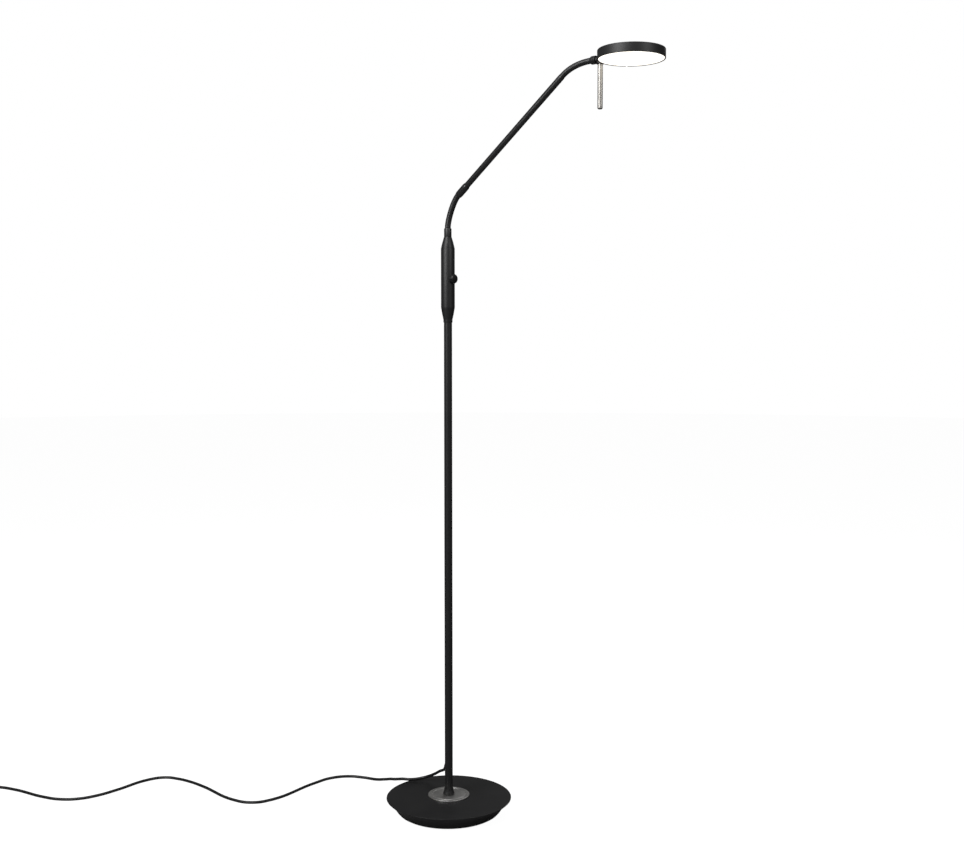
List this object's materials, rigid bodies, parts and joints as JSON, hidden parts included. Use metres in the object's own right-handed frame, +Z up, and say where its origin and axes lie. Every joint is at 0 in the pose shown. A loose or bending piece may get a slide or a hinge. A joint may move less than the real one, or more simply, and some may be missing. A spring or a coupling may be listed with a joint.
{
  "type": "pharmacy floor lamp",
  "caption": "Floor lamp with a heavy round foot, slim pole with rotary dimmer, bendable arm and a flat round light head turned by a hanging grip rod.",
  "frame": {"origin": "centre of the pad under the base, on the floor", "axes": "+Z up along the pole; at rest the arm leaves the pole towards +X and -Y, 41 degrees below the X axis in plan; the mains lead runs towards -X behind the base"},
  "size_m": [1.3319, 0.5027, 1.3267],
  "materials": {
    "black_powder_coat": "matt black powder coat on steel, fine orange-peel grain, soft wide highlights",
    "head_aluminium": "satin black coat on a turned aluminium drum, faint turning lines",
    "satin_nickel": "satin brushed nickel plate, fine lines round the piece, warm tone",
    "zinc_steel": "bright zinc plated steel, slightly cloudy",
    "cast_iron": "rough sand-cast iron weight",
    "foot_pad": "closed-cell black foam pad, fine pores",
    "neck_sheath": "satin black sheath over a spring core, very fine rings",
    "black_plastic": "fine-textured black moulding",
    "knob_plastic": "satin black moulding with a soft sheen on the dome",
    "circuit_board": "green solder mask over glass laminate",
    "opal_diffuser": "opal acrylic, evenly lit warm white",
    "clear_acrylic": "clear acrylic light guide with a dot pattern",
    "white_sheet": "matt white reflector film",
    "cord_pvc": "smooth black soft PVC with a low sheen",
    "plug_pin": "nickel-plated brass contact pins with insulating sleeves"
  },
  "bodies": {
    "stand": {"base_cover": "black_powder_coat", "base_weight": "cast_iron", "base_pad": "foot_pad", "base_rosette": "satin_nickel", "bolt_washer": "zinc_steel", "base_bolt": "zinc_steel", "pole_tube": "black_powder_coat", "pole_bushing": "zinc_steel", "foot_collar": "black_powder_coat", "cord_gland": "black_plastic", "dimmer_housing": "black_powder_coat", "housing_cap": "black_powder_coat", "dimmer_pot": "zinc_steel", "dimmer_board": "circuit_board", "cord_lead": "cord_pvc", "cord_coil": "cord_pvc", "cord_tail": "cord_pvc", "cord_tie": "black_plastic", "plug_body": "black_plastic", "plug_pin_1": "plug_pin", "plug_pin_2": "plug_pin"},
    "knob": {"dimmer_knob": "knob_plastic"},
    "swivel": {"swivel_stem": "black_powder_coat", "swivel_clip": "zinc_steel", "lower_neck_root": "neck_sheath"},
    "lower_link_1": {"lower_neck_link_1": "neck_sheath"},
    "lower_link_2": {"lower_neck_link_2": "neck_sheath"},
    "arm": {"lower_neck_tip": "neck_sheath", "neck_joiner": "black_powder_coat", "arm_tube": "black_powder_coat", "upper_neck_root": "neck_sheath"},
    "upper_link_1": {"upper_neck_link_1": "neck_sheath"},
    "upper_link_2": {"upper_neck_link_2": "neck_sheath"},
    "neck_end": {"upper_neck_tip": "neck_sheath", "head_collar": "black_powder_coat"},
    "head": {"head_knuckle": "black_powder_coat", "head_shell": "head_aluminium", "head_diffuser": "opal_diffuser", "light_guide": "clear_acrylic", "back_reflector": "white_sheet", "led_board": "circuit_board", "head_screw": "zinc_steel", "handle_rod": "satin_nickel"}
  },
  "joints": [
    {"name": "knob_turn", "type": "hinge", "parent": "stand", "child": "knob", "pos_m": [0, 0, 0.9785], "axis": [0.7071, -0.7071, 0], "range_deg": [-150, 150]},
    {"name": "arm_swivel", "type": "hinge", "parent": "stand", "child": "swivel", "pos_m": [0, 0, 1.05], "axis": [0, 0, 1], "range_deg": [-170, 170]},
    {"name": "lower_bend_1", "type": "hinge", "parent": "swivel", "child": "lower_link_1", "pos_m": [0.00109, -0.00095, 1.07965], "axis": [-0.6561, -0.7547, 0], "range_deg": [-13, 13]},
    {"name": "lower_bend_2", "type": "hinge", "parent": "lower_link_1", "child": "lower_link_2", "pos_m": [0.00606, -0.00526, 1.09909], "axis": [-0.6561, -0.7547, 0], "range_deg": [-13, 13]},
    {"name": "lower_bend_3", "type": "hinge", "parent": "lower_link_2", "child": "arm", "pos_m": [0.01333, -0.01159, 1.11719], "axis": [-0.6561, -0.7547, 0], "range_deg": [-13, 13]},
    {"name": "upper_bend_1", "type": "hinge", "parent": "arm", "child": "upper_link_1", "pos_m": [0.19597, -0.17036, 1.30896], "axis": [-0.6561, -0.7547, 0], "range_deg": [-14, 14]},
    {"name": "upper_bend_2", "type": "hinge", "parent": "upper_link_1", "child": "upper_link_2", "pos_m": [0.21021, -0.18273, 1.31637], "axis": [-0.6561, -0.7547, 0], "range_deg": [-14, 14]},
    {"name": "upper_bend_3", "type": "hinge", "parent": "upper_link_2", "child": "neck_end", "pos_m": [0.22532, -0.19587, 1.31961], "axis": [-0.6561, -0.7547, 0], "range_deg": [-14, 14]},
    {"name": "head_roll", "type": "hinge", "parent": "neck_end", "child": "head", "pos_m": [0.23298, -0.20252, 1.31997], "axis": [0.7547, -0.6561, 0], "range_deg": [-80, 80]}
  ],
  "couplings": [
    {"joint": "lower_bend_2", "follows": "lower_bend_1", "ratio": 1},
    {"joint": "lower_bend_3", "follows": "lower_bend_1", "ratio": 1},
    {"joint": "upper_bend_2", "follows": "upper_bend_1", "ratio": 1},
    {"joint": "upper_bend_3", "follows": "upper_bend_1", "ratio": 1}
  ]
}
